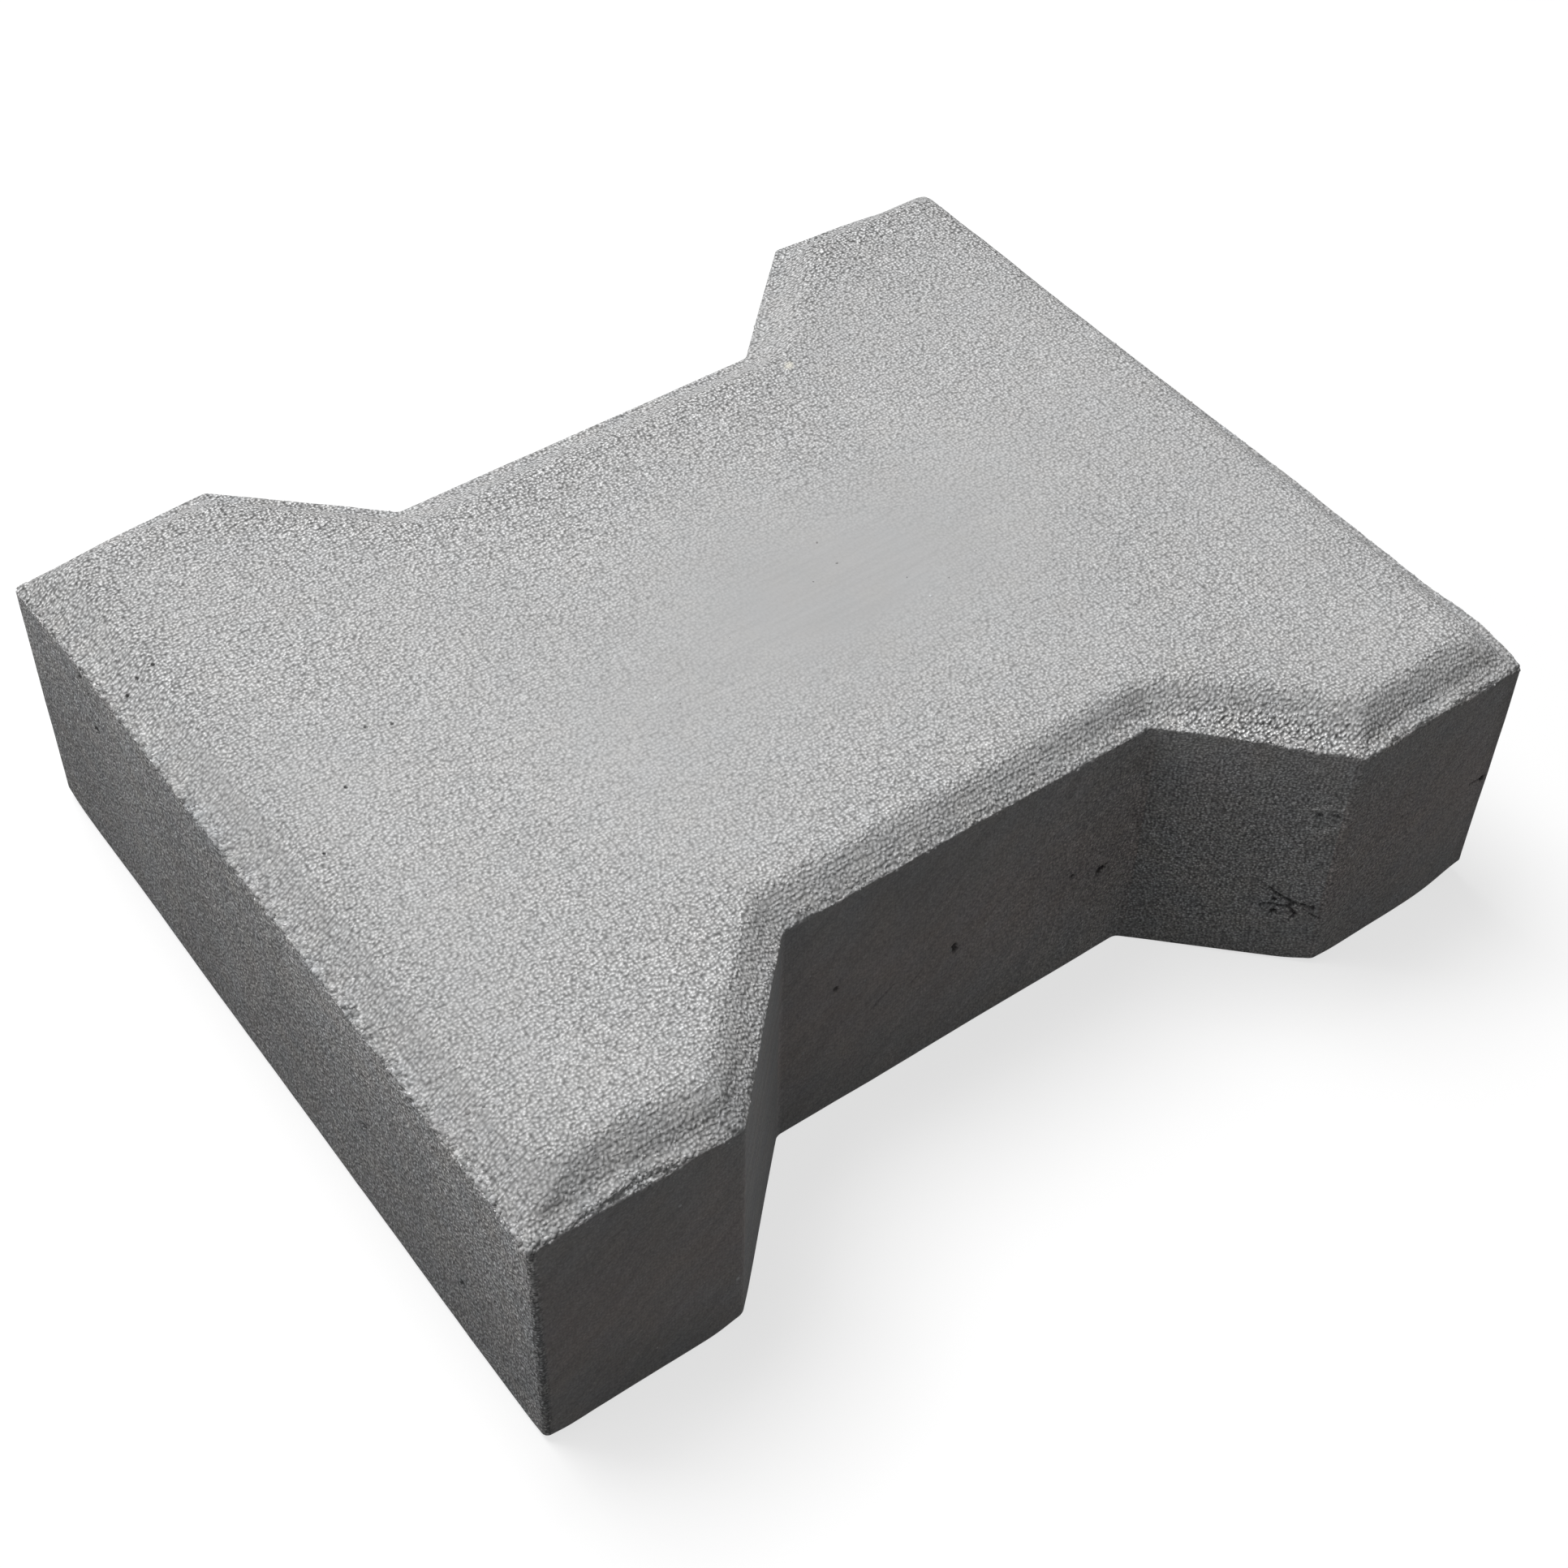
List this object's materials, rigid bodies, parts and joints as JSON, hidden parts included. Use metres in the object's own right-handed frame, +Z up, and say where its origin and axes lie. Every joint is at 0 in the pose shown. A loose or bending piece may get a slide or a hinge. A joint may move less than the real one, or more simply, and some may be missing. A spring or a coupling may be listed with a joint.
{
  "type": "fly ash interlocking paving brick",
  "caption": "Paving brick of pressed fly ash, I-shaped in plan: wide end flanges, a narrower web, side notches that lock with its neighbours, and a chamfered walking face.",
  "frame": {"origin": "centre of the underside, on the ground it lies on", "axes": "+X along the length, end to end; +Y across the flanges; +Z up through the walking face"},
  "size_m": [0.2, 0.165, 0.06],
  "materials": {
    "pressed_fly_ash": "matte"
  },
  "bodies": {
    "root": {"paving_brick": "pressed_fly_ash"}
  },
  "joints": []
}
